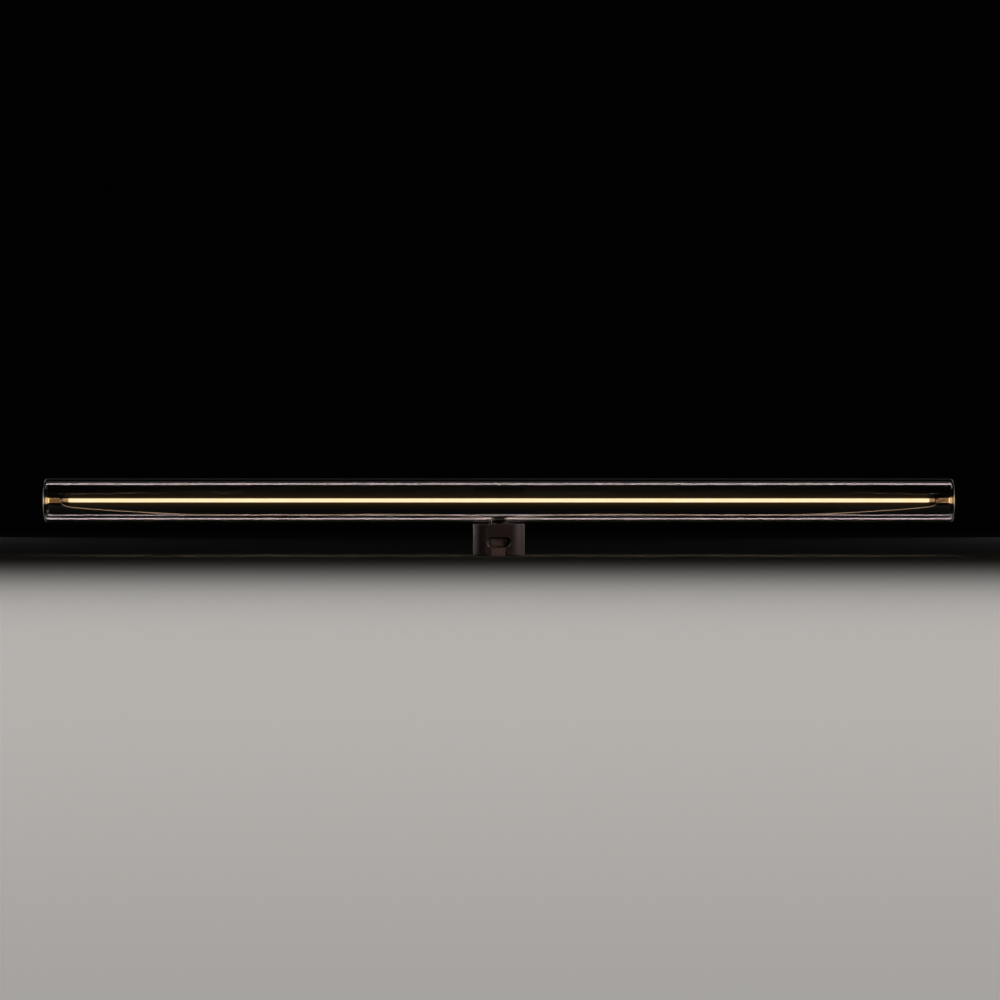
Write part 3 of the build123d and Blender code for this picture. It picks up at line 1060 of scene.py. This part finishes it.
# Neck cement: a ring of grey-brown mineral cement that bonds the glass neck into the cap's top.
# It is poured and baked, so its face is matt and grainy.
cement, *_ = moulded_finish(
    "cement",
    colours=((0.06, 0.05, 0.04), (0.17, 0.145, 0.12)),
    roughness=(0.8, 0.95),
    scale=2600.0,
    mottle=600.0,
    depth=0.00006,
)
cement_edge = 0.00006
cement_ring = eased_piece("cement_ring", "neck_cement", "cement", cement, cement_edge)


# Bottom plate: the moulded lid that closes the cap, pressed in flush with its foot.
# Two pairs of small forks on its inside hold the board upright.
plate_edge = 0.00012
bottom_plate = eased_piece("bottom_plate", "cap_bottom", "cap_plastic", cap_plastic, plate_edge)


# Floor: a plain pale disc that the lamp stands on, which fades into the dark at its rim.
# It is seen from above only, so that views from below show the lamp's underside.
floor_radius = 5.0
floor_fade = 3.2
floor_sides = 128
floor_colour = (0.8, 0.79, 0.77)
floor_form = bmesh.new()
bmesh.ops.create_circle(floor_form, cap_ends=True, segments=floor_sides, radius=floor_radius)
floor = new_object("floor", mesh_from(floor_form, "floor"))
floor_paint, floor_shader, floor_place = new_material("floor_paint")
floor_tree = floor_paint.node_tree
floor.data.materials.append(floor_paint)
floor_shader.inputs["Base Color"].default_value = (*floor_colour, 1)
floor_shader.inputs["Roughness"].default_value = 0.9
floor_shader.inputs["Specular IOR Level"].default_value = 0.1
floor_reach = floor_tree.nodes.new("ShaderNodeVectorMath")
floor_reach.operation = "LENGTH"
floor_tree.links.new(floor_place, floor_reach.inputs[0])
floor_edge = fade(floor_tree, floor_reach.outputs["Value"], floor_fade, floor_radius)
from_below = floor_tree.nodes.new("ShaderNodeNewGeometry").outputs["Backfacing"]
from_above = math_node(floor_tree, "SUBTRACT", 1.0, from_below)
floor_shown = math_node(floor_tree, "MULTIPLY", floor_edge, from_above)
floor_tree.links.new(floor_shown, floor_shader.inputs["Alpha"])
floor.visible_glossy = False


# Studio: dark surroundings, with long softboxes over, under and behind the tube for the lines on its glass,
# a short one behind each end, and a large softbox over the floor in front. Five small softboxes light the
# cap alone, and two warm ones the wires and ferrules, which the filament lights in a real lamp.
surroundings = (0.0005, 0.0005, 0.0005)
world = bpy.data.worlds.new("studio")
world.use_nodes = True
world.node_tree.nodes["Background"].inputs["Color"].default_value = (*surroundings, 1)
bpy.context.scene.world = world


def softbox(name, place, size, radiance, colour, aim=(0, 0, axis_height), spread=170.0):
    """A soft rectangular light turned to its aim, with its brightness as seen straight on."""
    half_spread = math.radians(spread) / 2
    grid_gain = math.tan(half_spread) / (math.tan(half_spread) - half_spread)
    light = bpy.data.lights.new(name, "AREA")
    light.shape = "RECTANGLE"
    light.size, light.size_y = size
    light.energy = 4 * size[0] * size[1] * radiance / grid_gain
    light.color = colour
    light.spread = math.radians(spread)
    box = new_object(name, light)
    box.location = place
    box.rotation_euler = (Vector(aim) - Vector(place)).to_track_quat("-Z", "Y").to_euler()
    box.visible_camera = False
    return box


def round_the_lamp(distance, turn, rise):
    """A place at a distance from the middle of the tube.

    A turn of 0 is in front and 90 on the right, and the rise is upwards, both in degrees.
    """
    level = distance * math.cos(math.radians(rise))
    return (
        level * math.sin(math.radians(turn)),
        -level * math.cos(math.radians(turn)),
        axis_height + distance * math.sin(math.radians(rise)),
    )


def piece_group(name, pieces):
    """A collection of pieces that a softbox can be kept to."""
    group = bpy.data.collections.new(name)
    for piece in pieces:
        group.objects.link(piece)
    return group


neutral_light = (1.0, 0.97, 0.95)
warm_light = (1.0, 0.93, 0.92)
strip_light = (1.0, 0.8, 0.79)
filament_light = (1.0, 0.83, 0.58)
box_distance = 1.2
strip_length = 3.4
cap_box_size = (0.4, 0.4)
wire_box_size = (1.4, 1.5)
wire_box_rise = 35
cap_middle = (0, 0, cap_height / 2)

highlight_strips = [
    softbox(name, round_the_lamp(distance, turn, rise), size, radiance, colour)
    for name, distance, turn, rise, size, radiance, colour in (
        ("strip_over", box_distance, 180, 79.5, (strip_length, 0.14), 5.6, strip_light),
        ("strip_under", box_distance, 180, -67, (strip_length, 0.26), 4.8, strip_light),
        ("strip_behind", 2.5, 180, 14, (3.0, 0.5), 0.025, neutral_light),
        ("strip_left_end", 1.6, 201, 1, (0.3, 0.5), 0.5, neutral_light),
        ("strip_right_end", 1.6, 159, 1, (0.3, 0.5), 0.5, neutral_light),
    )
]
tube_group = piece_group("tube_group", (glass_envelope, phosphor_bead, *end_rods, *inner_metal))
for strip in highlight_strips:
    strip.visible_diffuse = False
for strip in highlight_strips[:2]:
    strip.light_linking.receiver_collection = tube_group
for strip in highlight_strips[3:]:
    strip.visible_transmission = False

floor_box = softbox(
    "floor_box",
    place=(0, -2.0, 1.3),
    size=(2.4, 2.0),
    radiance=3.2,
    colour=neutral_light,
    aim=(0, -2.0, 0),
    spread=75.0,
)
floor_box.visible_glossy = False
floor_box.visible_transmission = False

cap_group = piece_group("cap_group", (moulded_cap, bottom_plate, cement_ring, *contact_blades))
for piece in (*cap_group.objects, *driver_parts):
    piece.visible_glossy = False
for name, turn, rise, radiance in (
    ("cap_key", 57, 12, 9.0),
    ("cap_side", 88, 8, 4.5),
    ("cap_rim", -105, 8, 5.5),
    ("cap_back_key", 150, 20, 6.0),
    ("cap_back_fill", -150, 15, 6.0),
):
    place = round_the_lamp(box_distance, turn, rise)
    box = softbox(name, place, cap_box_size, radiance, warm_light, aim=cap_middle)
    box.light_linking.receiver_collection = cap_group

wire_group = piece_group("wire_group", inner_metal)
for name, turn, radiance in (("wire_front", 0, 5.5), ("wire_back", 180, 9.0)):
    place = round_the_lamp(box_distance, turn, wire_box_rise)
    box = softbox(name, place, wire_box_size, radiance, filament_light)
    box.light_linking.receiver_collection = wire_group


# Camera: straight in front on the tube's axis, far enough back that the tube fills the photo's width.
# A narrow warm glow round the brightest parts stands for the scatter in its lens.
photo_pixels = 1000
photo_left = 42.5
photo_right = 955.2
photo_axis = 500.4
camera_distance = 3.0
camera_data = bpy.data.cameras.new("camera")
metres_per_pixel = 2 * tube_half / (photo_right - photo_left)
outline_distance = camera_distance - tube_radius / 2
camera_data.lens = camera_data.sensor_width * outline_distance / (photo_pixels * metres_per_pixel)
camera = new_object("camera", camera_data)
camera.location = (
    (photo_pixels / 2 - (photo_left + photo_right) / 2) * metres_per_pixel,
    -camera_distance,
    axis_height + (photo_axis - photo_pixels / 2) * metres_per_pixel,
)
camera.rotation_euler = (math.pi / 2, 0, 0)
bpy.context.scene.camera = camera
bpy.context.scene.view_settings.view_transform = "Standard"

bpy.context.scene.use_nodes = True
lens_tree = bpy.context.scene.node_tree
lens_tree.nodes.clear()
seen = lens_tree.nodes.new("CompositorNodeRLayers")
lens_glow = lens_tree.nodes.new("CompositorNodeGlare")
lens_glow.glare_type = "BLOOM"
lens_glow.quality = "HIGH"
lens_glow.inputs["Threshold"].default_value = 0.6
lens_glow.inputs["Strength"].default_value = 0.5
lens_glow.inputs["Size"].default_value = 0.01
lens_glow.inputs["Tint"].default_value = (1.0, 0.66, 0.42, 1.0)
picture = lens_tree.nodes.new("CompositorNodeComposite")
lens_tree.links.new(seen.outputs["Image"], lens_glow.inputs["Image"])
lens_tree.links.new(lens_glow.outputs["Image"], picture.inputs["Image"])
